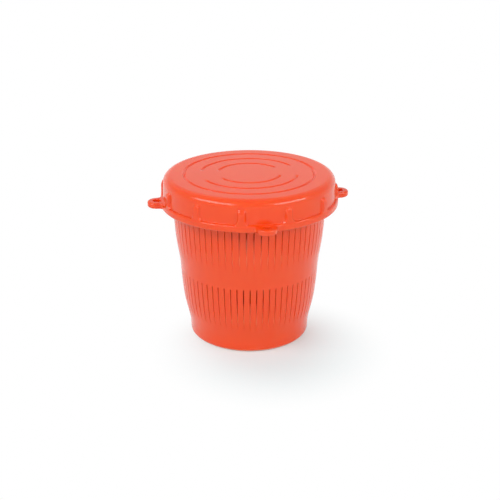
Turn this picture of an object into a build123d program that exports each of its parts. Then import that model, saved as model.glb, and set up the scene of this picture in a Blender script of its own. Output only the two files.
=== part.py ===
import os
from math import degrees

from build123d import *

# A vented bait jar with a twist-off lid. Millimetres, +Z up.
# The origin is the middle of the base, on the ground. The lid's ears point along X and Y.

# Jar: heights above the ground
base_ring_height = 8.5
lower_slot_foot = 14.2
lower_swell_height = 25.0
lower_slot_break = 36.0
lower_band_top = 46.4
upper_band_start = 52.5
upper_slot_foot = 57.0
upper_slot_break = 79.5
shoulder_height = 88.0
neck_start = 91.0
jar_height = 106.6

# Jar: outer radii, and how far from the axis a slot's root lies at its foot and where it breaks through
foot_radius = 39.3
base_ring_radius = 39.6
lower_root_at_foot = 40.8
lower_swell_radius = 43.2
lower_root_at_break = 42.3
lower_band_radius = 45.3
waist_radius = 45.8
upper_root_at_foot = 46.5
upper_root_at_break = 46.8
shoulder_radius = 49.4
neck_radius = 51.0

# Jar: wall, floor and rounded corners
wall = 2.2
floor_thickness = 2.2
foot_corner = 2.0
floor_corner = 3.0
rim_corner = 0.5

# Recess under the floor, which leaves a ring to stand on
stand_ring_width = 3.2
stand_recess = 1.0
stand_recess_taper = 1.2
gate_recess_radius = 4.0
gate_recess_depth = 0.4

# Vent slots: upright grooves with a nearly upright root. They run out at the foot of their band,
# break through the wall higher up and end at the top of the band.
slot_count = 68
slot_width = 0.6
lower_slot_start = 0.2
upper_slot_start = 0.7

# Twist lugs: four on the neck and four in the skirt, which pass between each other
lug_count = 4
lug_depth = 2.4
lug_height = 2.4
lug_arc = 34.0
lug_below_rim = 5.5
lug_chamfer = 0.8
lug_gap = 0.4
stop_arc = 3.0
stop_drop = 3.2
twist_clearance = 0.4

# Lid: top, skirt and the bead round its lower edge
lid_top_thickness = 2.4
lid_edge_radius = 5.0
lid_edge_flats = 4
skirt_wall = 2.0
skirt_drop = 17.3
skirt_draft = 0.35
bead_width = 1.7
bead_height = 4.8
bead_corner = 0.7
bead_blend = 0.5
underside_corner = 2.0

# Grooves in the lid's top. The two inner ones stop short of a plain band across the middle.
outer_ring_radius = 42.0
middle_ring_radius = 31.2
inner_ring_radius = 20.4
ring_groove_width = 1.1
ring_groove_depth = 0.5
middle_ring_gap = 42.0
inner_ring_gap = 51.0

# Grip ribs on the skirt, evenly spaced, with an ear midway between every third pair
rib_count = 12
rib_width = 4.6
rib_rise = 9.3
rib_setback = 0.25
rib_arch = 1.8
rib_slope_height = 2.4
rib_slope_depth = 1.2
rib_foot_flare = 1.6
rib_foot_height = 3.2
rib_foot_blend = 4.0

# Tie-down ears, level with the bead
ear_count = 4
ear_thickness = 3.2
ear_lift = 0.8
ear_hole_radius = 2.5
ear_hole_offset = 2.3
ear_end_radius = 6.2
ear_root_blend = 3.6
ear_setback = 0.25
ear_corner = 0.7

# Worked out from the sizes above
lid_height = jar_height + lid_top_thickness
skirt_bottom = jar_height - skirt_drop
skirt_bore = neck_radius + lug_depth + twist_clearance
skirt_radius = skirt_bore + skirt_wall
bead_radius = skirt_radius + bead_width
bead_top = skirt_bottom + bead_height
jar_lug_top = jar_height - lug_below_rim
jar_lug_bottom = jar_lug_top - lug_height
lid_lug_top = jar_lug_bottom - lug_gap
ear_bottom = skirt_bottom + ear_lift
ear_hole_circle = bead_radius + ear_hole_offset
turn_between_lugs = 360 / lug_count
overshoot = 1.0


def nearest_vertices(shape, points):
    found = []
    for radius, height in points:
        found.append(shape.vertices().sort_by_distance((radius, 0, height))[0])
    return found


def wall_line(inset, bottom, top):
    # Half of the wall's section, moved inwards by inset and run from bottom to top. The outer face
    # meets the slots' root where they run out, and the inner face meets it where they break through.
    at = [
        (foot_radius, bottom),
        (base_ring_radius, base_ring_height),
        (lower_root_at_foot, lower_slot_foot),
        (lower_swell_radius, lower_swell_height),
        (lower_root_at_break + wall, lower_slot_break),
        (lower_band_radius, lower_band_top),
        (waist_radius, upper_band_start),
        (upper_root_at_foot, upper_slot_foot),
        (upper_root_at_break + wall, upper_slot_break),
        (shoulder_radius, shoulder_height),
        (neck_radius, neck_start),
        (neck_radius, top),
    ]
    face_side = [(radius - inset, height) for radius, height in at]
    return Polyline(*face_side, (0, top), (0, bottom), close=True)


def stand_ring_recess():
    outer = foot_radius - foot_corner - stand_ring_width
    top = outer - stand_recess_taper
    section = Polyline(
        (0, -overshoot),
        (outer, -overshoot),
        (outer, 0),
        (top, stand_recess),
        (0, stand_recess),
        close=True,
    )
    return revolve(make_face(Plane.XZ * section), Axis.Z)


def vent_slots(root_line, band_radius, band_top, start):
    # The root line gives the root's radius and height at the foot and where the slot breaks through.
    # The sides of a slot point at the axis. The first slot lies start pitches from the X axis.
    foot, breakthrough = root_line
    far = 2 * band_radius - foot[0]
    section = Polyline(
        foot,
        (far, foot[1]),
        (far, band_top),
        (breakthrough[0], band_top),
        breakthrough,
        close=True,
    )
    turn = degrees(slot_width / band_radius)
    slot = revolve(make_face(Plane.XZ * section), Axis.Z, revolution_arc=turn)
    pitch = 360 / slot_count
    return [Rot(0, 0, (number + start) * pitch - turn / 2) * slot for number in range(slot_count)]


def neck_lug():
    # A lug with a chamfered top edge. The stop at its clockwise end is what the lid's lug turns up to.
    root = neck_radius - wall / 2
    tip = neck_radius + lug_depth
    section = Polyline(
        (root, jar_lug_bottom),
        (tip, jar_lug_bottom),
        (tip, jar_lug_top - lug_chamfer),
        (tip - lug_chamfer, jar_lug_top),
        (root, jar_lug_top),
        close=True,
    )
    stop_section = Polyline(
        (root, jar_lug_bottom - stop_drop),
        (tip, jar_lug_bottom - stop_drop),
        (tip, jar_lug_bottom + lug_height / 2),
        (root, jar_lug_bottom + lug_height / 2),
        close=True,
    )
    lug = revolve(make_face(Plane.XZ * section), Axis.Z, revolution_arc=lug_arc)
    stop = revolve(make_face(Plane.XZ * stop_section), Axis.Z, revolution_arc=stop_arc)
    return Rot(0, 0, -lug_arc / 2) * (lug + stop)


def jar():
    floor_top = stand_recess + floor_thickness
    outside = make_face(Plane.XZ * wall_line(0, 0, jar_height))
    outside = chamfer(nearest_vertices(outside, [(foot_radius, 0)]), foot_corner)
    inside = make_face(Plane.XZ * wall_line(wall, floor_top, jar_height + overshoot))
    inside = chamfer(nearest_vertices(inside, [(foot_radius - wall, floor_top)]), floor_corner)
    body = revolve(outside, Axis.Z) - revolve(inside, Axis.Z)
    rim = body.faces().sort_by(Axis.Z)[-1]
    body = chamfer(rim.edges(), rim_corner)
    body -= stand_ring_recess()
    gate_top = stand_recess + gate_recess_depth
    body -= Cylinder(gate_recess_radius, gate_top, align=(Align.CENTER, Align.CENTER, Align.MIN))
    for number in range(lug_count):
        body += Rot(0, 0, (number + 0.5) * turn_between_lugs) * neck_lug()
    lower_root = [(lower_root_at_foot, lower_slot_foot), (lower_root_at_break, lower_slot_break)]
    upper_root = [(upper_root_at_foot, upper_slot_foot), (upper_root_at_break, upper_slot_break)]
    body -= vent_slots(lower_root, lower_band_radius, lower_band_top, lower_slot_start)
    body -= vent_slots(upper_root, shoulder_radius, shoulder_height, upper_slot_start)
    return body


def lid_shell():
    # The rounded top edge is made of a few flats.
    top_radius = skirt_radius - skirt_draft
    top_edge = RadiusArc(
        (top_radius, lid_height - lid_edge_radius),
        (top_radius - lid_edge_radius, lid_height),
        -lid_edge_radius,
    )
    corners = [
        ((skirt_bore, jar_height), underside_corner),
        ((bead_radius, skirt_bottom), bead_corner),
        ((bead_radius, bead_top), bead_corner),
        ((skirt_radius, bead_top), bead_blend),
    ]
    points = [corner for corner, size in corners]
    points.insert(1, (skirt_bore, skirt_bottom))
    points += [top_edge @ (step / lid_edge_flats) for step in range(lid_edge_flats + 1)]
    section = Polyline((0, jar_height), *points, (0, lid_height), close=True)
    section = make_face(Plane.XZ * section)
    for corner, size in corners:
        section = chamfer(nearest_vertices(section, [corner]), size)
    return revolve(section, Axis.Z)


def ring_groove(radius, gap):
    # A V groove, whole or broken on both sides of the plain band.
    half = ring_groove_width / 2
    section = Polyline(
        (radius - half, lid_height),
        (radius, lid_height - ring_groove_depth),
        (radius + half, lid_height),
        (radius, lid_height + ring_groove_depth),
        close=True,
    )
    cutter = make_face(Plane.XZ * section)
    if gap == 0:
        return [revolve(cutter, Axis.Z)]
    arc = revolve(cutter, Axis.Z, revolution_arc=180 - gap)
    return [Rot(0, 0, gap / 2) * arc, Rot(0, 0, 180 + gap / 2) * arc]


def grip_rib():
    # Seen from outside: upright sides, an arched top and a foot that flares onto the bead.
    # Seen from the side: an upright front that leans back near the top.
    half = rib_width / 2
    foot = bead_top - bead_corner
    flare_top = bead_top + rib_foot_height
    top = bead_top + rib_rise
    outline = Polyline(
        (-half - rib_foot_flare, foot),
        (half + rib_foot_flare, foot),
        (half, flare_top),
        (half, top),
        (-half, top),
        (-half, flare_top),
        close=True,
    )
    face = make_face(outline)
    face = fillet(face.vertices().group_by(Axis.Y)[-1], rib_arch)
    bends = [face.vertices().sort_by_distance((side * half, flare_top, 0))[0] for side in (-1, 1)]
    face = fillet(bends, rib_foot_blend)
    start = skirt_bore + skirt_wall / 2
    front = bead_radius - rib_setback
    outward = Plane(origin=(start, 0, 0), x_dir=(0, 1, 0), z_dir=(1, 0, 0))
    rib = extrude(outward * face, front - start)
    side = Polyline(
        (start, foot),
        (front, foot),
        (front, top - rib_slope_height),
        (front - rib_slope_depth, top),
        (start, top),
        close=True,
    )
    return rib & extrude(Plane.XZ * make_face(side), rib_width, both=True)


def ear_plate():
    # One flat ring with four rounded ears, which blend into the bead.
    plate = Circle(bead_radius - ear_setback)
    for number in range(ear_count):
        plate += Rot(0, 0, number * 360 / ear_count) * Pos(ear_hole_circle, 0) * Circle(ear_end_radius)
    plate = fillet(plate.vertices(), ear_root_blend)
    solid = extrude(plate, ear_thickness)
    solid = chamfer(solid.faces().sort_by(Axis.Z)[-1].edges(), ear_corner)
    solid = chamfer(solid.faces().sort_by(Axis.Z)[0].edges(), ear_corner)
    solid -= Cylinder(skirt_bore + skirt_wall / 2, 3 * ear_thickness)
    return Pos(0, 0, ear_bottom) * solid


def skirt_lug():
    root = skirt_bore + skirt_wall / 2
    tip = skirt_bore - lug_depth
    section = Polyline(
        (root, lid_lug_top),
        (tip, lid_lug_top),
        (tip, lid_lug_top - lug_height + lug_chamfer),
        (tip + lug_chamfer, lid_lug_top - lug_height),
        (root, lid_lug_top - lug_height),
        close=True,
    )
    lug = revolve(make_face(Plane.XZ * section), Axis.Z, revolution_arc=lug_arc)
    return Rot(0, 0, -lug_arc / 2) * lug


def lid():
    body = lid_shell() + ear_plate()
    rib = grip_rib()
    lug = skirt_lug()
    body += [Rot(0, 0, (number + 0.5) * 360 / rib_count) * rib for number in range(rib_count)]
    body += [Rot(0, 0, number * turn_between_lugs) * lug for number in range(lug_count)]
    hole = Cylinder(ear_hole_radius, 3 * ear_thickness)
    hole = Pos(ear_hole_circle, 0, ear_bottom) * hole
    body -= [Rot(0, 0, number * 360 / ear_count) * hole for number in range(ear_count)]
    grooves = ring_groove(outer_ring_radius, 0)
    grooves += ring_groove(middle_ring_radius, middle_ring_gap)
    grooves += ring_groove(inner_ring_radius, inner_ring_gap)
    return body - grooves


os.makedirs("parts", exist_ok=True)
for name, make in {"jar": jar, "lid": lid}.items():
    export_step(make(), f"parts/{name}.step")
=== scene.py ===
from math import atan2, ceil, cos, degrees, hypot, pi, radians, sin, tan

import bmesh
import bpy
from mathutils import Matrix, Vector


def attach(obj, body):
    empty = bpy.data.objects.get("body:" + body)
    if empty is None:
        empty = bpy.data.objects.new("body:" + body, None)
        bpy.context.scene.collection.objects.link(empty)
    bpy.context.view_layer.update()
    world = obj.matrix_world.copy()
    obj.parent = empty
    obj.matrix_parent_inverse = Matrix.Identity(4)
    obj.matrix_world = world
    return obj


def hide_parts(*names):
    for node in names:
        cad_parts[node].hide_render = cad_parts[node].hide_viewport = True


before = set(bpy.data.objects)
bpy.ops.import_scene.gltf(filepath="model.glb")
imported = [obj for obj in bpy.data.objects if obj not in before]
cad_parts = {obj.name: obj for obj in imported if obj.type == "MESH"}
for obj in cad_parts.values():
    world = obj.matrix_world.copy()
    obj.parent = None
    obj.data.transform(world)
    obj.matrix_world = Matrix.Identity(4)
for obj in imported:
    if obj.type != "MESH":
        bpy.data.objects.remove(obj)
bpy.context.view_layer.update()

# A vented bait jar with a twist-off lid, moulded in one orange-red plastic.
# Sizes in the dictionaries are millimetres and degrees. The meshes are built in metres.
mm = 0.001
mergeGap = 0.004 * mm    # closer points than this are one point
tiny = 1e-6              # heights or angles closer than this are the same


# Small helpers

def addNode(tree, kind, settings=None, inputs=None, output=0):
    # Adds a node, sets its properties, then fills or links its inputs. Gives back one of its outputs.
    node = tree.nodes.new(kind)
    for name, value in (settings or {}).items():
        setattr(node, name, value)
    for name, value in (inputs or {}).items():
        if isinstance(value, bpy.types.NodeSocket):
            tree.links.new(value, node.inputs[name])
        else:
            node.inputs[name].default_value = value
    return node.outputs[output]


def smoothStep(x):
    # Runs from 0 to 1 with level ends.
    x = min(max(x, 0.0), 1.0)
    return x * x * (3 - 2 * x)


def polar(radius, angle, z):
    # A point in metres from a radius and height in millimetres and an angle in degrees.
    return Vector((radius * cos(radians(angle)), radius * sin(radians(angle)), z)) * mm


def softCorners(points, steps=4):
    # Turns (radius, height, corner size) points into a line with round corners.
    line = []
    for i, (r, z, size) in enumerate(points):
        corner = Vector((r, z))
        if size == 0:
            line.append(corner)
            continue
        before = (Vector(points[i - 1][:2]) - corner).normalized()
        after = (Vector(points[i + 1][:2]) - corner).normalized()
        half = before.angle(after) / 2
        reach = size / tan(half)
        middle = corner + (before + after).normalized() * size / sin(half)
        start = corner + before * reach - middle
        turn = start.angle_signed(corner + after * reach - middle)
        for step in range(steps + 1):
            a = -turn * step / steps
            spoke = Vector((start.x * cos(a) - start.y * sin(a), start.x * sin(a) + start.y * cos(a)))
            line.append(middle + spoke)
    return [(p.x, p.y) for p in line]


def meshObject(name, verts, faces):
    # A new object, with doubled points and faces without area cleaned away.
    mesh = bpy.data.meshes.new(name)
    mesh.from_pydata(verts, [], faces)
    bm = bmesh.new()
    bm.from_mesh(mesh)
    bmesh.ops.remove_doubles(bm, verts=bm.verts, dist=mergeGap)
    bmesh.ops.dissolve_degenerate(bm, edges=bm.edges, dist=mergeGap)
    bm.to_mesh(mesh)
    bm.free()
    thing = bpy.data.objects.new(name, mesh)
    bpy.context.scene.collection.objects.link(thing)
    return thing


def runTree(thing, tree, values):
    # Puts a Geometry Nodes tree on an object, sets its inputs by identifier and keeps the plain mesh.
    modifier = thing.modifiers.new(tree.name, "NODES")
    modifier.node_group = tree
    for item in tree.interface.items_tree:
        if item.name in values:
            modifier[item.identifier] = values[item.name]
    bpy.context.view_layer.update()
    shown = thing.evaluated_get(bpy.context.evaluated_depsgraph_get())
    mesh = bpy.data.meshes.new_from_object(shown)
    thing.modifiers.clear()
    thing.data = mesh
    return thing


def newTree(name, inputs):
    # An empty Geometry Nodes tree with named inputs. Gives back the tree and what its inputs hold.
    tree = bpy.data.node_groups.new(name, "GeometryNodeTree")
    tree.interface.new_socket("Geometry", in_out="INPUT", socket_type="NodeSocketGeometry")
    for label, kind, value in inputs:
        socket = tree.interface.new_socket(label, in_out="INPUT", socket_type=kind)
        if value is not None:
            socket.default_value = value
    tree.interface.new_socket("Geometry", in_out="OUTPUT", socket_type="NodeSocketGeometry")
    given = tree.nodes.new("NodeGroupInput").outputs
    return tree, given


def finishPiece(thing, material, sharpAngle=32):
    # Smooth faces with edges kept crisp where they turn sharply.
    thing.data.materials.clear()
    thing.data.materials.append(material)
    thing.data.polygons.foreach_set("material_index", [0] * len(thing.data.polygons))
    thing.data.shade_smooth()
    thing.data.set_sharp_from_angle(angle=radians(sharpAngle))
    weighted = thing.modifiers.new("evenNormals", "WEIGHTED_NORMAL")
    weighted.keep_sharp = True


# Materials

def linear(hexColour):
    # sRGB hex to the linear colour that the shader wants.
    parts = [int(hexColour[i:i + 2], 16) / 255 for i in (1, 3, 5)]
    return [p / 12.92 if p <= 0.04045 else ((p + 0.055) / 1.055) ** 2.4 for p in parts] + [1.0]


plastic = {
    "colour": "#F04C0F",
    "flowColour": "#EB460D",    # a little deeper where the melt flowed longest
    "flowSize": 26.0,
    "paintedSlotLightColour": "#FF8C5C",    # painted light: the slot sides are coloured lighter, standing in for light shining through the plastic there
    "paintedLightStart": 0.08,          # depths in the wall, from 0 outside to 1 inside, where that colour
    "paintedLightFull": 0.25,           # starts, is full and begins to fade
    "paintedLightFade": 0.8,
    "ior": 1.49,
    "roughness": 0.19,
    "roughnessChange": 0.03,
    "glow": 0.5,                # share of the light that spreads inside the wall
    "glowRadius": 1.0,
    "glowReach": (1.0, 0.3, 0.15),      # red spreads furthest and blue least
    "sinkSize": 9.0, "sinkDepth": 0.005,
    "grainSize": 0.7, "grainDepth": 0.002,
    "noiseLow": 0.3, "noiseHigh": 0.7,  # the noise seldom leaves this range
}


def mouldedPolypropylene(name, v):
    # Injection-moulded polypropylene: even, bright colour with slow flow clouds, a soft gloss that
    # wavers over faint sink marks, a little light spreading inside the slender wall, and painted light on
    # the slot sides.
    material = bpy.data.materials.new(name)
    material.use_nodes = True
    tree = material.node_tree
    shader = tree.nodes["Principled BSDF"]
    place = addNode(tree, "ShaderNodeTexCoord", output="Object")
    flow = addNode(tree, "ShaderNodeTexNoise", {}, {
        "Vector": place, "Scale": 1 / (v["flowSize"] * mm), "Detail": 2.0})
    colour = addNode(tree, "ShaderNodeMix", {"data_type": "RGBA"}, {
        "Factor": flow, 6: linear(v["colour"]), 7: linear(v["flowColour"])}, 2)
    # Painted light: by its depth in the wall, the side of a slot gets a lighter colour that stands in for
    # light shining through the plastic.
    depth = addNode(tree, "ShaderNodeAttribute", {"attribute_name": "slotDepth"}, {}, "Fac")
    inward = addNode(tree, "ShaderNodeMapRange", {}, {
        "Value": depth, "From Min": v["paintedLightStart"], "From Max": v["paintedLightFull"]})
    paintedSlotLight = addNode(tree, "ShaderNodeMapRange", {}, {
        "Value": depth, "From Min": v["paintedLightFade"], "From Max": 1.0, "To Min": inward, "To Max": 0.0})
    colour = addNode(tree, "ShaderNodeMix", {"data_type": "RGBA"}, {
        "Factor": paintedSlotLight, 6: colour, 7: linear(v["paintedSlotLightColour"])}, 2)
    sink = addNode(tree, "ShaderNodeTexNoise", {}, {
        "Vector": place, "Scale": 1 / (v["sinkSize"] * mm), "Detail": 1.0})
    grain = addNode(tree, "ShaderNodeTexNoise", {}, {
        "Vector": place, "Scale": 1 / (v["grainSize"] * mm), "Detail": 2.0})
    roughness = addNode(tree, "ShaderNodeMapRange", {}, {
        "Value": sink, "From Min": v["noiseLow"], "From Max": v["noiseHigh"],
        "To Min": v["roughness"] - v["roughnessChange"], "To Max": v["roughness"] + v["roughnessChange"]})
    sinkBump = addNode(tree, "ShaderNodeBump", {}, {
        "Height": sink, "Distance": v["sinkDepth"] * mm, "Strength": 1.0})
    bump = addNode(tree, "ShaderNodeBump", {}, {
        "Height": grain, "Distance": v["grainDepth"] * mm, "Strength": 1.0, "Normal": sinkBump})
    tree.links.new(colour, shader.inputs["Base Color"])
    tree.links.new(roughness, shader.inputs["Roughness"])
    tree.links.new(bump, shader.inputs["Normal"])
    shader.inputs["IOR"].default_value = v["ior"]
    shader.inputs["Subsurface Weight"].default_value = v["glow"]
    shader.inputs["Subsurface Radius"].default_value = v["glowReach"]
    shader.inputs["Subsurface Scale"].default_value = v["glowRadius"] * mm
    return material


jarPlastic = mouldedPolypropylene("injectionMouldedPolypropyleneJar", plastic)
lidPlastic = mouldedPolypropylene("injectionMouldedPolypropyleneLid", plastic)
print("materials done")


# Jar: one stave, as wide as a slot pitch, is drawn here and repeated round the axis

jar = {
    "bands": (              # outer radius at heights, band by band, with a bend between the bands
        ((0, 39.3), (8.5, 39.6)),
        ((8.5, 39.6), (14.2, 40.8), (25.0, 43.2), (36.0, 44.5), (46.4, 45.3)),
        ((46.4, 45.3), (52.5, 45.8)),
        ((52.5, 45.8), (57.0, 46.5), (68.0, 48.1), (79.5, 49.0), (88.0, 49.4)),
        ((88.0, 49.4), (91.0, 51.0)),
        ((91.0, 51.0), (110.0, 51.0)),
    ),
    "bend": 0.8,            # how far up and down a bend is softened
    "height": 106.6, "wall": 2.2, "footRadius": 39.3, "neckRadius": 51.0,
    "floorTop": 3.2, "footCorner": 2.6, "floorCorner": 3.0, "rimCorner": 0.7,
    "standRing": 3.4, "recessDepth": 1.0, "recessTaper": 1.2, "recessEdge": 0.5,
    "gateRadius": 4.0, "gateDepth": 0.4, "gateEdge": 0.15, "gateTaper": 0.1,
    "slots": 68, "slotWidth": 0.52,
    "slotStart": 0.2,       # the first lower slot lies this many pitches from the X axis
    "slotEdge": 0.16,       # size of the softened edges of a slot
    "slotDeepening": 1.7,   # how late a slot gets deep on its way from the foot to the break
    "slotBands": (          # heights where the slots start, break through the wall and end
        {"foot": 14.2, "break": 36.0, "top": 46.4},
        {"foot": 57.0, "break": 82.0, "top": 88.0},
    ),
    "rowStep": 3.6,         # rows of points on the slotted wall lie at most this far apart
    "footRun": 1.5, "floorRun": 0.4, "rimRun": 3.0,     # plain wall beyond those corners
    "shoulderRows": (89.2, 90.2, 91.0, 91.9, 95.0),
    "floorMargin": 1.5,     # this far inside the recess, only a stave's two sides have points
}


def bandRadius(z):
    # Runs a smooth line through the heights and radii of the band that holds z.
    band = next((b for b in jar["bands"] if z < b[-1][0]), jar["bands"][-1])
    slopes = [(b[1] - a[1]) / (b[0] - a[0]) for a, b in zip(band, band[1:])]
    tangents = [slopes[0]] + [(p + q) / 2 for p, q in zip(slopes, slopes[1:])] + [slopes[-1]]
    i = max(n for n in range(len(slopes)) if n == 0 or z >= band[n][0])
    (z0, r0), (z1, r1) = band[i], band[i + 1]
    step = z1 - z0
    t = (z - z0) / step
    if t < 0:
        return r0 + slopes[0] * (z - z0)
    curve = (2 * t ** 3 - 3 * t ** 2 + 1) * r0 + (3 * t ** 2 - 2 * t ** 3) * r1
    return curve + step * ((t ** 3 - 2 * t ** 2 + t) * tangents[i] + (t ** 3 - t ** 2) * tangents[i + 1])


def outerRadius(z):
    # The wall's outside, with the bends between the bands softened.
    soft = jar["bend"]
    return (bandRadius(z - soft) + 2 * bandRadius(z) + bandRadius(z + soft)) / 4


def rootRadius(band, z):
    # How far from the axis the root of a slot lies.
    part = min(max((z - band["foot"]) / (band["break"] - band["foot"]), 0), 1)
    return outerRadius(z) - jar["wall"] * part ** jar["slotDeepening"]


def spread(low, high, step):
    # Evenly spaced values from low to high, at most a step apart.
    count = max(1, ceil((high - low) / step))
    return [low + (high - low) * i / count for i in range(count + 1)]


def staveRows():
    # The stave's section, from the middle of the underside round to the middle of the floor.
    # A row is (radius, height, slot): slot names the band whose slots cut the row, and its side.
    v = jar
    edge = v["slotEdge"]
    spans = [(b["foot"], b["break"], b["top"]) for b in v["slotBands"]]
    ringIn = v["footRadius"] - v["footCorner"] - v["standRing"]
    plain = v["footCorner"] + v["footRun"]
    under = softCorners([
        (0, v["recessDepth"] + v["gateDepth"], 0),
        (v["gateRadius"], v["recessDepth"] + v["gateDepth"], v["gateEdge"]),
        (v["gateRadius"] + v["gateTaper"], v["recessDepth"], v["gateEdge"]),
        (ringIn - v["recessTaper"], v["recessDepth"], v["recessEdge"]),
        (ringIn, 0, v["recessEdge"]),
        (v["footRadius"], 0, v["footCorner"]),
        (outerRadius(plain), plain, 0),
    ], 4)
    rows = [(r, z, None) for r, z in under]
    for number, (foot, through, top) in enumerate(spans):
        rows += [(outerRadius(z), z, None) for z in spread(plain, foot, v["rowStep"])[1:]]
        cut = spread(foot, through, v["rowStep"])[1:] + spread(through, top, v["rowStep"])[1:]
        rows += [(outerRadius(z), z, (number, "cut")) for z in cut]
        rows.append((outerRadius(top), top, (number, "lip")))
        plain = top + edge
        rows.append((outerRadius(plain), plain, None))
    rows += [(outerRadius(z), z, None) for z in v["shoulderRows"]]
    neckIn = v["neckRadius"] - v["wall"]
    rim = softCorners([
        (v["neckRadius"], v["height"] - v["rimRun"], 0),
        (v["neckRadius"], v["height"], v["rimCorner"]),
        (neckIn, v["height"], v["rimCorner"]),
        (neckIn, v["height"] - v["rimRun"], 0),
    ], 3)
    rows += [(r, z, None) for r, z in rim]
    inside = list(reversed(v["shoulderRows"]))
    for number in (1, 0):    # down the inside, from the upper band to the lower one
        foot, through, top = spans[number]
        low = spans[0][2] + edge if number else v["floorTop"] + v["floorCorner"] + v["floorRun"]
        inside += [top] + spread(through, top, v["rowStep"])[-2::-1]
        inside += spread(low, through, v["rowStep"])[-2::-1]
    for z in inside:
        slot = next((n for n, span in enumerate(spans) if span[1] - tiny <= z <= span[2] + tiny), None)
        rows.append((outerRadius(z) - v["wall"], z, None if slot is None else (slot, "inside")))
    rows += [(r, z, None) for r, z in softCorners([
        (outerRadius(inside[-1]) - v["wall"], inside[-1], 0),
        (v["footRadius"] - v["wall"], v["floorTop"], v["floorCorner"]),
        (v["gateRadius"], v["floorTop"], 0),
        (0, v["floorTop"], 0),
    ], 5)[1:]]
    return rows, spans


def drawStave():
    # One lower slot in its middle and half an upper slot at each side.
    v = jar
    pitch = 360 / v["slots"]
    tops = [outerRadius(band["top"]) for band in v["slotBands"]]
    edge = degrees(v["slotEdge"] / tops[0])
    half = [degrees(v["slotWidth"] / 2 / top) for top in tops]
    # A column is (angle from the stave's middle, band of the slot that it belongs to, its place there).
    right = [
        (half[0], 0, "root"), (half[0], 0, "side"), (half[0] + edge, None, "land"),
        (pitch / 4, None, "land"),
        (pitch / 2 - half[1] - edge, None, "land"), (pitch / 2 - half[1], 1, "side"),
        (pitch / 2 - half[1], 1, "root"), (pitch / 2, 1, "root"),
    ]
    columns = [(-angle, band, place) for angle, band, place in reversed(right)] + right
    ends = (0, len(columns) - 1)     # enough columns on the floor and under it
    rows, spans = staveRows()
    floorEdge = v["footRadius"] - v["footCorner"] - v["standRing"] - v["recessTaper"] - v["floorMargin"]
    verts, lines = [], []
    for r, z, slot in rows:
        line = {}
        for c, (angle, band, place) in enumerate(columns):
            if r < floorEdge and c not in ends:
                continue
            radius = r
            if slot and slot[1] != "inside" and band == slot[0]:
                root = max(rootRadius(v["slotBands"][band], z), r - v["wall"])
                isRoot = place == "root" and slot[1] == "cut"
                radius = root if isRoot else max(r - v["slotEdge"], root)
            line[c] = len(verts)
            verts.append(polar(radius, angle + v["slotStart"] * pitch, z))
        lines.append(line)
    faces = []
    for i, (low, high) in enumerate(zip(lines, lines[1:])):
        if len(low) != len(high):
            faces.append([low[c] for c in sorted(low)] + [high[c] for c in sorted(high, reverse=True)])
            continue
        keys = sorted(low)
        for a, b in zip(keys, keys[1:]):
            if not isOpen(rows[i], rows[i + 1], columns[a], columns[b], spans):
                faces.append([low[a], low[b], high[b], high[a]])
    stave = meshObject("jarStave", verts, faces)
    # How deep in the wall a point lies, from 0 outside to 1 inside, for the material's painted light on the
    # slot sides.
    depths = stave.data.attributes.new("slotDepth", "FLOAT", "POINT")
    for vertex in stave.data.vertices:
        x, y, z = vertex.co / mm
        depths.data[vertex.index].value = (outerRadius(z) - hypot(x, y)) / v["wall"]
    return stave


def isOpen(rowA, rowB, columnA, columnB, spans):
    # True for a face that a slot takes away, above the height where it breaks through the wall.
    inSlot = columnA[1] is not None and columnA[1] == columnB[1] and columnA[2] == columnB[2] == "root"
    if not inSlot or not rowA[2] and not rowB[2]:
        return False
    through = spans[columnA[1]][1]
    for row in (rowA, rowB):
        sameSlot = row[2] and row[2][0] == columnA[1] and row[2][1] in ("cut", "inside")
        if not (sameSlot or abs(row[1] - through) < tiny) or row[1] < through - tiny:
            return False
    return True


def repeatTree():
    # Copies a piece round the Z axis, joins the copies where they meet and gives them their plastic.
    tree, given = newTree("RepeatRoundAxis", [
        ("Copies", "NodeSocketInt", 4),
        ("First Angle", "NodeSocketFloat", 0.0),
        ("Merge Distance", "NodeSocketFloat", mergeGap),
        ("Material", "NodeSocketMaterial", None),
    ])
    points = addNode(tree, "GeometryNodeMeshLine", {"mode": "OFFSET"}, {
        "Count": given["Copies"], "Offset": (0, 0, 0)})
    step = addNode(tree, "ShaderNodeMath", {"operation": "DIVIDE"}, {0: 2 * pi, 1: given["Copies"]})
    number = addNode(tree, "GeometryNodeInputIndex")
    turn = addNode(tree, "ShaderNodeMath", {"operation": "MULTIPLY_ADD"}, {
        0: number, 1: step, 2: given["First Angle"]})
    rotation = addNode(tree, "ShaderNodeCombineXYZ", {}, {"Z": turn})
    copies = addNode(tree, "GeometryNodeInstanceOnPoints", {}, {
        "Points": points, "Instance": given["Geometry"], "Rotation": rotation})
    real = addNode(tree, "GeometryNodeRealizeInstances", {}, {"Geometry": copies})
    merged = addNode(tree, "GeometryNodeMergeByDistance", {}, {
        "Geometry": real, "Distance": given["Merge Distance"]})
    done = addNode(tree, "GeometryNodeSetMaterial", {}, {"Geometry": merged, "Material": given["Material"]})
    end = tree.nodes.new("NodeGroupOutput")
    tree.links.new(done, end.inputs["Geometry"])
    return tree


repeatRoundAxis = repeatTree()
jarBody = runTree(drawStave(), repeatRoundAxis, {
    "Copies": jar["slots"], "First Angle": 0.0, "Merge Distance": mergeGap, "Material": jarPlastic})
jarBody.name = "jarBody"
print("jar body done:", len(jarBody.data.polygons), "faces")


# Lugs: short thick bars that follow the wall, for the twist fit

lugs = {
    "count": 4, "arc": 34.0, "height": 2.4, "depth": 2.4, "edge": 0.5, "gap": 0.4,
    "neckTop": 101.1, "neckTurn": 45.0, "neckRoot": 50.0,
    "stopArc": 3.0, "stopFoot": 95.5,
    "skirtTop": 98.3, "skirtBore": 53.8, "skirtRoot": 54.8,
    "step": 2.5,    # degrees between the sections along a lug
}


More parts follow.
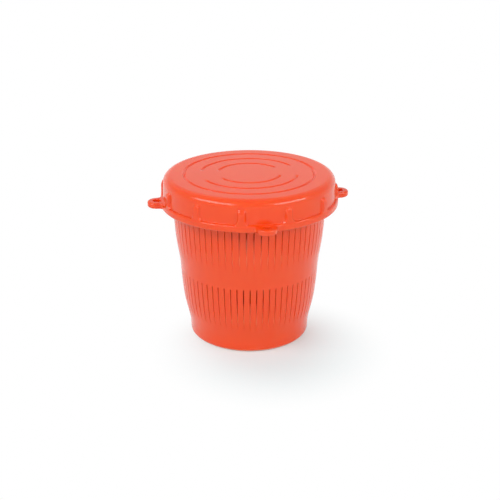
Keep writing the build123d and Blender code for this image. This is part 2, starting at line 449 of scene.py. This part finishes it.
def arcBar(name, inner, outer, low, top, start, end, edge, faceOut):
    # A bar with softened edges and ends. One side is hidden inside the wall that it grows from.
    tip, root = (outer, inner) if faceOut else (inner, outer)
    line = softCorners([(root, low, 0), (tip, low, edge), (tip, top, edge), (root, top, 0)], 4)
    middle = (low + top) / 2
    turns = [(0, edge), (0.35 * edge, 0.3 * edge), (edge, 0)]    # a quarter round in two steps
    reach = degrees(1 / tip)
    stations = [(start + way * reach, inset) for way, inset in turns]
    stations += [(a, 0) for a in spread(start, end, lugs["step"])[1:-1]]
    stations += [(end - way * reach, inset) for way, inset in reversed(turns)]
    verts, faces = [], []
    for angle, inset in stations:
        for r, z in line:
            r = r + (inset if tip < root else -inset) * abs(r - root) / abs(tip - root)
            z = middle + (z - middle) * (1 - 2 * inset / (top - low))
            verts.append(polar(r, angle, z))
    n = len(line)
    for s in range(len(stations) - 1):
        for i in range(n):
            a, b = s * n + i, s * n + (i + 1) % n
            faces.append([a, b, b + n, a + n])
    faces.append(list(range(n))[::-1])
    faces.append([len(verts) - n + i for i in range(n)])
    return outward(meshObject(name, verts, faces))


def outward(thing):
    # Turns all faces of a closed mesh outwards.
    bm = bmesh.new()
    bm.from_mesh(thing.data)
    bmesh.ops.recalc_face_normals(bm, faces=bm.faces)
    bm.to_mesh(thing.data)
    bm.free()
    return thing


def unite(body, parts):
    # Joins closed pieces to a body as one closed mesh.
    for part in parts:
        join = body.modifiers.new("join", "BOOLEAN")
        join.operation = "UNION"
        join.solver = "MANIFOLD"
        join.object = part
    bpy.context.view_layer.update()
    shown = body.evaluated_get(bpy.context.evaluated_depsgraph_get())
    mesh = bpy.data.meshes.new_from_object(shown)
    body.modifiers.clear()
    body.data = mesh
    for part in parts:
        bpy.data.objects.remove(part)


def four(thing, firstAngle, material):
    # Lugs and ears come in fours.
    return runTree(thing, repeatRoundAxis, {
        "Copies": lugs["count"], "First Angle": radians(firstAngle),
        "Merge Distance": 0.0, "Material": material})


neckTip = lugs["skirtBore"] - lugs["gap"]
neckLugs = four(arcBar(
    "neckLugs", lugs["neckRoot"], neckTip, lugs["neckTop"] - lugs["height"], lugs["neckTop"],
    -lugs["arc"] / 2, lugs["arc"] / 2, lugs["edge"], True), lugs["neckTurn"], jarPlastic)
neckStops = four(arcBar(
    "neckStops", lugs["neckRoot"], neckTip, lugs["stopFoot"], lugs["neckTop"] - lugs["edge"],
    -lugs["arc"] / 2, -lugs["arc"] / 2 + lugs["stopArc"], lugs["edge"], True), lugs["neckTurn"], jarPlastic)
unite(jarBody, [neckLugs, neckStops])
finishPiece(jarBody, jarPlastic)
print("jar done:", len(jarBody.data.polygons), "faces")


# Lid: a sector with one grip rib, repeated round the axis, then pressed with the three rings

lid = {
    "height": 109.0, "underside": 106.6, "edgeRadius": 5.0,
    "skirtRadius": 55.8, "skirtDraft": 0.35, "skirtBottom": 89.3, "bore": 53.8,
    "beadRadius": 57.5, "beadTop": 94.1, "beadCorner": 1.3, "beadBlend": 0.35, "undersideCorner": 2.0,
    "ribs": 12, "ribWidth": 4.6, "ribTop": 103.4, "ribFront": 57.25, "ribArch": 1.8,
    "ribLeanHeight": 3.4, "ribLean": 1.1,      # the front leans back near the top
    "ribLeanCurve": 1.6, "ribLeanEnd": 1.2,    # more and more, until a little above it
    "ribFlare": 1.6, "ribFlareHeight": 3.2,
    "ribSoftIn": 0.7, "ribSoftOut": 0.7,       # how far the rib's edge rounds inwards and outwards
    "rings": (42.0, 31.2, 20.4),
    "ringGaps": (0.0, 42.0, 51.0),             # the outer ring is whole
    "ringWidth": 2.2, "ringFloor": 0.66, "ringDepth": 0.85,
    "ringMargin": 0.4,                         # a row of points this far from each side of a groove
    "topRows": (6.0, 12.0, 25.8, 36.6, 46.5),  # radii of the other rows, away from the grooves
    "topRun": 0.6, "skirtRun": 0.1,            # plain top and skirt beyond the rounded edge
    "boreEdge": 0.4,
    "ribRows": (0.2, 0.9, 0.4),                # steps between rows at a rib's arch, sides and flare
    "ribRowsAbove": 0.4, "flareMargin": 0.3, "beadMargin": 0.25,
    "ribColumns": (0, 0.8, 1.4),               # columns across half a rib's front
    "edgeStart": 1.7, "edgeStep": 0.2,         # then across its soft edge
    "columnStep": 2.5, "columnGap": 0.08,      # degrees between plain columns, and the least gap
}


def ribCover(across, z):
    # 1 on the rib's front, 0 on the bare skirt, and a soft step between.
    v = lid
    flareTop = v["beadTop"] + v["ribFlareHeight"]
    half = v["ribWidth"] / 2
    if z < flareTop:
        half += v["ribFlare"] * ((flareTop - z) / v["ribFlareHeight"]) ** 2
    qx = abs(across) - (half - v["ribArch"])
    qz = z - (v["ribTop"] - v["ribArch"])
    inside = v["ribArch"] - hypot(max(qx, 0), max(qz, 0)) - min(max(qx, qz), 0)
    return smoothStep((inside + v["ribSoftOut"]) / (v["ribSoftIn"] + v["ribSoftOut"]))


def ribFrontAt(z):
    # How far from the axis a rib's front lies.
    part = min(max((z - lid["ribTop"] + lid["ribLeanHeight"]) / lid["ribLeanHeight"], 0), lid["ribLeanEnd"])
    return lid["ribFront"] - lid["ribLean"] * part ** lid["ribLeanCurve"]


def lidRows():
    # The lid's section, from the middle of the top out, down the skirt and back under the top.
    v = lid
    topRadius = v["skirtRadius"] - v["skirtDraft"]
    line = [(0, v["height"])]
    marks = list(v["topRows"])
    for ring in v["rings"]:
        sides = (v["ringFloor"] / 2, v["ringWidth"] / 2, v["ringWidth"] / 2 + v["ringMargin"])
        marks += [ring] + [ring + side * d for d in sides for side in (-1, 1)]
    line += [(r, v["height"]) for r in sorted(marks)]
    line += softCorners([
        (topRadius - v["edgeRadius"] - v["topRun"], v["height"], 0),
        (topRadius, v["height"], v["edgeRadius"]),
        (topRadius, v["height"] - v["edgeRadius"] - v["skirtRun"], 0),
    ], 8)

    def skirt(z):
        part = (z - v["beadTop"]) / (v["height"] - v["edgeRadius"] - v["beadTop"])
        return v["skirtRadius"] - v["skirtDraft"] * part

    archStep, sideStep, flareStep = v["ribRows"]
    flareTop = v["beadTop"] + v["ribFlareHeight"]
    z = v["ribTop"] + v["ribRowsAbove"]
    heights = []
    while z > v["beadTop"] + v["beadBlend"] + v["beadMargin"]:
        heights.append(z)
        if z > v["ribTop"] - v["ribArch"] - archStep:
            z -= archStep
        elif z > flareTop + v["flareMargin"]:
            z -= sideStep
        else:
            z -= flareStep
    line += [(skirt(z), z) for z in heights]
    bead = softCorners([
        (skirt(z), z, 0),
        (v["skirtRadius"], v["beadTop"], v["beadBlend"]),
        (v["beadRadius"], v["beadTop"], v["beadCorner"]),
        (v["beadRadius"], v["skirtBottom"], v["beadCorner"]),
        (v["bore"], v["skirtBottom"], v["boreEdge"]),
        (v["bore"], v["underside"], v["undersideCorner"]),
        (0, v["underside"], 0),
    ], 5)
    return line + bead


def drawLidSector():
    # One sector, with a rib in its middle. Columns are close together only on the skirt, at the rib.
    v = lid
    sector = 360 / v["ribs"]
    reach = v["ribWidth"] / 2 + v["ribFlare"] + v["ribSoftOut"]
    edgeColumns = ceil((reach - v["edgeStart"]) / v["edgeStep"]) + 1
    steps = list(v["ribColumns"]) + [v["edgeStart"] + v["edgeStep"] * i for i in range(edgeColumns)]
    toAngle = degrees(1 / v["ribFront"])
    wide = spread(-sector / 2, sector / 2, v["columnStep"])
    few = [-sector / 2, 0, sector / 2]
    ribSteps = [side * s * toAngle for s in steps for side in (-1, 1)]
    fine = sorted(wide + [a for a in ribSteps if min(abs(a - b) for b in wide) > v["columnGap"]])
    fewInside, skirtOutside, wallOutside = 3, v["rings"][0] + 7, v["bore"] + 1
    rows = lidRows()
    verts, faces, lines = [], [], []
    for r, z in rows:
        onSkirt = r > skirtOutside
        angles = fine if onSkirt else wide if r > fewInside else few
        line = []
        for a in angles:
            out = r
            if onSkirt and z > v["beadTop"] - v["beadCorner"] and r > wallOutside:
                cover = ribCover(radians(a) * v["ribFront"], z)
                out = r + max(0, ribFrontAt(z) - r) * cover
            line.append((a, len(verts)))
            verts.append(polar(out, a + sector / 2, z))
        lines.append(line)
    for high, low in zip(lines, lines[1:]):
        faces += stitch(high, low)
    return meshObject("lidSector", verts, faces)


def stitch(high, low):
    # Faces between two rows of (angle, vertex) whose angles needn't match, split where both have one.
    shared = [a for a, _ in high if any(abs(a - b) < tiny for b, _ in low)]
    faces = []
    for a, b in zip(shared, shared[1:]):
        top = [i for angle, i in high if a - tiny < angle < b + tiny]
        under = [i for angle, i in low if a - tiny < angle < b + tiny]
        faces.append(under + top[::-1])
    return faces


def ringTree():
    # Sinks one ring into the top. It stops short of the plain band that crosses it along the X axis.
    tree, given = newTree("PressRing", [
        ("Ring Radius", "NodeSocketFloat", 0.042),
        ("Groove Width", "NodeSocketFloat", 0.0022),
        ("Floor Width", "NodeSocketFloat", 0.0007),
        ("Groove Depth", "NodeSocketFloat", 0.0008),
        ("Half Gap", "NodeSocketFloat", 0.0),
        ("Top Height", "NodeSocketFloat", 0.109),
        ("Material", "NodeSocketMaterial", None),
    ])
    fade = 0.03         # radians to each side of a gap's edge over which the ring runs out
    leastGap = 0.001    # a ring with less gap than this is whole
    slack = 0.1 * mm    # only points this near to the top's height are pressed
    place = addNode(tree, "GeometryNodeInputPosition")
    x = addNode(tree, "ShaderNodeSeparateXYZ", {}, {"Vector": place}, "X")
    y = addNode(tree, "ShaderNodeSeparateXYZ", {}, {"Vector": place}, "Y")
    z = addNode(tree, "ShaderNodeSeparateXYZ", {}, {"Vector": place}, "Z")
    flat = addNode(tree, "ShaderNodeCombineXYZ", {}, {"X": x, "Y": y})
    radius = addNode(tree, "ShaderNodeVectorMath", {"operation": "LENGTH"}, {0: flat}, "Value")
    away = addNode(tree, "ShaderNodeMath", {"operation": "SUBTRACT"}, {0: radius, 1: given["Ring Radius"]})
    away = addNode(tree, "ShaderNodeMath", {"operation": "ABSOLUTE"}, {0: away})
    half = addNode(tree, "ShaderNodeMath", {"operation": "DIVIDE"}, {0: given["Groove Width"], 1: 2.0})
    floor = addNode(tree, "ShaderNodeMath", {"operation": "DIVIDE"}, {0: given["Floor Width"], 1: 2.0})
    depth = addNode(tree, "ShaderNodeMapRange", {}, {
        "Value": away, "From Min": floor, "From Max": half, "To Min": 1.0, "To Max": 0.0})
    side = addNode(tree, "ShaderNodeMath", {"operation": "ABSOLUTE"}, {0: x})
    height = addNode(tree, "ShaderNodeMath", {"operation": "ABSOLUTE"}, {0: y})
    angle = addNode(tree, "ShaderNodeMath", {"operation": "ARCTAN2"}, {0: height, 1: side})
    past = addNode(tree, "ShaderNodeMath", {"operation": "SUBTRACT"}, {0: angle, 1: given["Half Gap"]})
    along = addNode(tree, "ShaderNodeMapRange", {"interpolation_type": "SMOOTHSTEP"}, {
        "Value": past, "From Min": -fade, "From Max": fade})
    isWhole = addNode(tree, "ShaderNodeMath", {"operation": "LESS_THAN"}, {
        0: given["Half Gap"], 1: leastGap})
    along = addNode(tree, "ShaderNodeMath", {"operation": "MAXIMUM"}, {0: along, 1: isWhole})
    sunk = addNode(tree, "ShaderNodeMath", {"operation": "MULTIPLY"}, {0: depth, 1: along})
    sunk = addNode(tree, "ShaderNodeMath", {"operation": "MULTIPLY"}, {0: sunk, 1: given["Groove Depth"]})
    down = addNode(tree, "ShaderNodeMath", {"operation": "MULTIPLY"}, {0: sunk, 1: -1.0})
    offset = addNode(tree, "ShaderNodeCombineXYZ", {}, {"Z": down})
    nearTop = addNode(tree, "ShaderNodeMath", {"operation": "SUBTRACT"}, {
        0: given["Top Height"], 1: slack})
    isTop = addNode(tree, "FunctionNodeCompare", {"data_type": "FLOAT", "operation": "GREATER_THAN"}, {
        0: z, 1: nearTop})
    pressed = addNode(tree, "GeometryNodeSetPosition", {}, {
        "Geometry": given["Geometry"], "Selection": isTop, "Offset": offset})
    real = addNode(tree, "GeometryNodeRealizeInstances", {}, {"Geometry": pressed})
    done = addNode(tree, "GeometryNodeSetMaterial", {}, {"Geometry": real, "Material": given["Material"]})
    end = tree.nodes.new("NodeGroupOutput")
    tree.links.new(done, end.inputs["Geometry"])
    return tree


lidBody = runTree(drawLidSector(), repeatRoundAxis, {
    "Copies": lid["ribs"], "First Angle": 0.0, "Merge Distance": mergeGap, "Material": lidPlastic})
lidBody.name = "lidBody"
pressRing = ringTree()
for ringRadius, ringGap in zip(lid["rings"], lid["ringGaps"]):
    runTree(lidBody, pressRing, {
        "Ring Radius": ringRadius * mm, "Half Gap": radians(ringGap / 2),
        "Groove Width": lid["ringWidth"] * mm, "Floor Width": lid["ringFloor"] * mm,
        "Groove Depth": lid["ringDepth"] * mm, "Top Height": lid["height"] * mm, "Material": lidPlastic})
print("lid body done:", len(lidBody.data.polygons), "faces")


# Ears: flat tabs with a hole, which flow out of the bead

ears = {
    "centre": 59.8, "endRadius": 6.17, "holeRadius": 2.5,
    "rimRadius": 57.25, "flare": 3.6,       # where the ear leaves the bead, and the hollow round there
    "bottom": 90.1, "thickness": 3.8, "edge": 1.1,
    "holeEdge": 0.5,                        # the hole's edge, as a share of the outer one
    "root": 55.2, "rootRun": 0.2,           # the root lies hidden inside the bead
    "tipSteps": 16, "flareSteps": 7, "rootSteps": 4, "edgeSteps": 4,
}


def earOutline(inset):
    # Half of the outline, from the tip back to the root, drawn smaller by inset.
    v = ears
    flareOut = v["rimRadius"] + v["flare"]
    reach = v["endRadius"] + v["flare"]
    cosine = (flareOut ** 2 + v["centre"] ** 2 - reach ** 2) / (2 * flareOut * v["centre"])
    turn = degrees(atan2((1 - cosine ** 2) ** 0.5, cosine))
    fx, fy = flareOut * cos(radians(turn)), flareOut * sin(radians(turn))
    tangent = degrees(atan2(fy, fx - v["centre"]))
    points = []
    for i in range(v["tipSteps"] + 1):
        a = radians(tangent * i / v["tipSteps"])
        r = v["endRadius"] - inset
        points.append((v["centre"] + r * cos(a), r * sin(a)))
    start, end = tangent + 180, turn + 180
    for i in range(1, v["flareSteps"] + 1):
        a = radians(start + (end - start) * i / v["flareSteps"])
        r = v["flare"] + inset
        points.append((fx + r * cos(a), fy + r * sin(a)))
    wide = points[-1][1] + v["rootRun"]
    points += [(v["root"], wide * (1 - i / v["rootSteps"])) for i in range(v["rootSteps"] + 1)]
    return points


def earLoop(inset, z, hole):
    # The ear's whole outline, or the hole's, with one point of the hole for each of the outline.
    v = ears
    half = earOutline(0 if hole else inset)
    points = half + [(x, -y) for x, y in half[-2:0:-1]]
    if hole:
        r = v["holeRadius"] + inset
        angles = [atan2(y, x - v["centre"]) for x, y in points]
        points = [(v["centre"] + r * cos(a), r * sin(a)) for a in angles]
    return [Vector((x, y, z)) * mm for x, y in points]


def drawEar():
    # Loops of points run round the outside from top to bottom and back up through the hole.
    v = ears
    top = v["bottom"] + v["thickness"]
    steps = [radians(90 * i / v["edgeSteps"]) for i in range(v["edgeSteps"] + 1)]
    rounded = [(v["edge"] * (1 - sin(a)), v["edge"] * (1 - cos(a))) for a in steps]
    loops = [earLoop(inset, top - drop, False) for inset, drop in rounded]
    loops += [earLoop(inset, v["bottom"] + drop, False) for inset, drop in reversed(rounded)]
    inner = [(inset * v["holeEdge"], drop * v["holeEdge"]) for inset, drop in rounded]
    loops += [earLoop(inset, v["bottom"] + drop, True) for inset, drop in inner]
    loops += [earLoop(inset, top - drop, True) for inset, drop in reversed(inner)]
    n = len(loops[0])
    verts = [p for line in loops for p in line]
    faces = []
    for s in range(len(loops)):
        t = (s + 1) % len(loops)
        for i in range(n):
            j = (i + 1) % n
            faces.append([s * n + i, s * n + j, t * n + j, t * n + i])
    return outward(meshObject("ear", verts, faces))


earSet = four(drawEar(), 0.0, lidPlastic)
skirtTip = lugs["skirtBore"] - lugs["depth"]
skirtLugs = four(arcBar(
    "skirtLugs", skirtTip, lugs["skirtRoot"], lugs["skirtTop"] - lugs["height"], lugs["skirtTop"],
    -lugs["arc"] / 2, lugs["arc"] / 2, lugs["edge"], False), 0.0, lidPlastic)
unite(lidBody, [earSet, skirtLugs])
finishPiece(lidBody, lidPlastic)
print("lid done:", len(lidBody.data.polygons), "faces")

for piece, body in ((jarBody, "jar"), (lidBody, "lid")):
    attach(piece, body)
    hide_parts(body)


# Floor, light and camera

studio = {      # metres and degrees, with lens and sensor in millimetres
    "floorColour": "#DDEFF1", "floorSize": 3.0, "floorRoughness": 0.9, "floorSpecular": 0.2,
    "paintedShadowPlace": (0.008, -0.035, 0.0),    # painted shadow: the floor stays darker round this point in front of the foot, over the real shadow
    "floorLift": 0.15, "floorNear": 0.015, "floorFar": 0.082,
    "worldLight": 0.42,                     # what the world lights the object with
    "sweepTop": 0.66,                       # how bright highlights show it overhead
    "sweepLow": 0.12, "sweepHigh": 0.36,    # a direction's rise where it starts and stops dimming
    "camera": (-0.1113, -0.6143, 0.3097), "turn": 10.27, "tilt": 22.16,
    "lens": 73.3, "sensor": 36, "shift": 0.00154,
}
lamps = {       # place, what it points at, size, watts, and whether it shows as a highlight
    "topLight": ((-0.1, 0.75, 0.85), (0, 0, 0.05), (1.2, 0.5), 3.2, False),
    "leftLight": ((-1.11, -0.518, 1.129), (0, 0, 0.1), (1.44, 0.46), 12.4, True),
    "rightLight": ((1.008, -0.907, 0.948), (0, 0, 0.1), (1.36, 0.42), 10.2, True),
    "frontLight": ((-0.25, -1.3, 0.35), (0, 0, 0.05), (1.6, 0.8), 3.3, False),
}


def areaLight(name, place, target, size, power, mirrored):
    light = bpy.data.lights.new(name, "AREA")
    light.shape = "RECTANGLE"
    light.size, light.size_y = size
    light.energy = power
    lamp = bpy.data.objects.new(name, light)
    lamp.location = place
    lamp.rotation_euler = (Vector(target) - Vector(place)).to_track_quat("-Z", "Y").to_euler()
    lamp.visible_glossy = mirrored
    bpy.context.scene.collection.objects.link(lamp)


def seenDirectly(tree):
    # 1 for rays from the camera and for mirrored or refracted ones.
    path = tree.nodes.new("ShaderNodeLightPath").outputs
    seen = addNode(tree, "ShaderNodeMath", {"operation": "MAXIMUM"}, {
        0: path["Is Camera Ray"], 1: path["Is Glossy Ray"]})
    return addNode(tree, "ShaderNodeMath", {"operation": "MAXIMUM"}, {
        0: seen, 1: path["Is Transmission Ray"]})


scene = bpy.context.scene
scene.view_settings.view_transform = "Standard"

size = studio["floorSize"]
floorCorners = [(-size, -size, 0), (size, -size, 0), (size, size, 0), (-size, size, 0)]
floor = meshObject("floor", floorCorners, [[0, 1, 2, 3]])
# Flat pale paint, with hardly any shine. Rays from the camera, and mirrored or refracted ones, see it
# a little nearer to white near a point in front of the foot, a painted shadow over the real one, and away
# from there as white as the background.
matte = bpy.data.materials.new("mattePaintedBoard")
matte.use_nodes = True
tree = matte.node_tree
matteShader = tree.nodes["Principled BSDF"]
matteShader.inputs["Base Color"].default_value = linear(studio["floorColour"])
matteShader.inputs["Roughness"].default_value = studio["floorRoughness"]
matteShader.inputs["Specular IOR Level"].default_value = studio["floorSpecular"]
# Painted shadow: less white is mixed in near a point in front of the foot, so the floor is darker there
# whether or not the object shades it.
place = addNode(tree, "ShaderNodeTexCoord", output="Object")
away = addNode(tree, "ShaderNodeVectorMath", {"operation": "DISTANCE"}, {
    0: place, 1: studio["paintedShadowPlace"]}, "Value")
lift = addNode(tree, "ShaderNodeMapRange", {"interpolation_type": "SMOOTHSTEP"}, {
    "Value": away, "From Min": studio["floorNear"], "From Max": studio["floorFar"],
    "To Min": studio["floorLift"], "To Max": 1.0})
lift = addNode(tree, "ShaderNodeMath", {"operation": "MULTIPLY"}, {0: lift, 1: seenDirectly(tree)})
plainWhite = addNode(tree, "ShaderNodeEmission", {}, {"Color": (1, 1, 1, 1), "Strength": 1.0})
mixed = addNode(tree, "ShaderNodeMixShader", {}, {0: lift, 1: matteShader.outputs["BSDF"], 2: plainWhite})
tree.links.new(mixed, tree.nodes["Material Output"].inputs["Surface"])
floor.data.materials.append(matte)

# The camera sees plain white. Highlights show a white that is dimmer above the horizon, and the
# light that falls on the object is dimmer still.
world = bpy.data.worlds.new("studioWhite")
world.use_nodes = True
scene.world = world
tree = world.node_tree
tree.nodes.clear()
way = addNode(tree, "ShaderNodeTexCoord", output="Generated")
rise = addNode(tree, "ShaderNodeSeparateXYZ", {}, {"Vector": way}, "Z")
sweep = addNode(tree, "ShaderNodeMapRange", {"interpolation_type": "SMOOTHSTEP"}, {
    "Value": rise, "From Min": studio["sweepLow"], "From Max": studio["sweepHigh"],
    "To Min": 1.0, "To Max": studio["sweepTop"]})
isCamera = tree.nodes.new("ShaderNodeLightPath").outputs["Is Camera Ray"]
sweep = addNode(tree, "ShaderNodeMath", {"operation": "MAXIMUM"}, {0: sweep, 1: isCamera})
strength = addNode(tree, "ShaderNodeMix", {}, {
    "Factor": seenDirectly(tree), "A": studio["worldLight"], "B": sweep})
white = addNode(tree, "ShaderNodeBackground", {}, {"Color": (1, 1, 1, 1), "Strength": strength})
worldEnd = tree.nodes.new("ShaderNodeOutputWorld")
tree.links.new(white, worldEnd.inputs["Surface"])

for lampName, settings in lamps.items():
    areaLight(lampName, *settings)

camera = bpy.data.objects.new("camera", bpy.data.cameras.new("camera"))
camera.location = studio["camera"]
camera.rotation_euler = (radians(90 - studio["tilt"]), 0, radians(-studio["turn"]))
camera.data.lens = studio["lens"]
camera.data.sensor_width = studio["sensor"]
camera.data.shift_x = studio["shift"]
scene.collection.objects.link(camera)
scene.camera = camera
print("studio done")
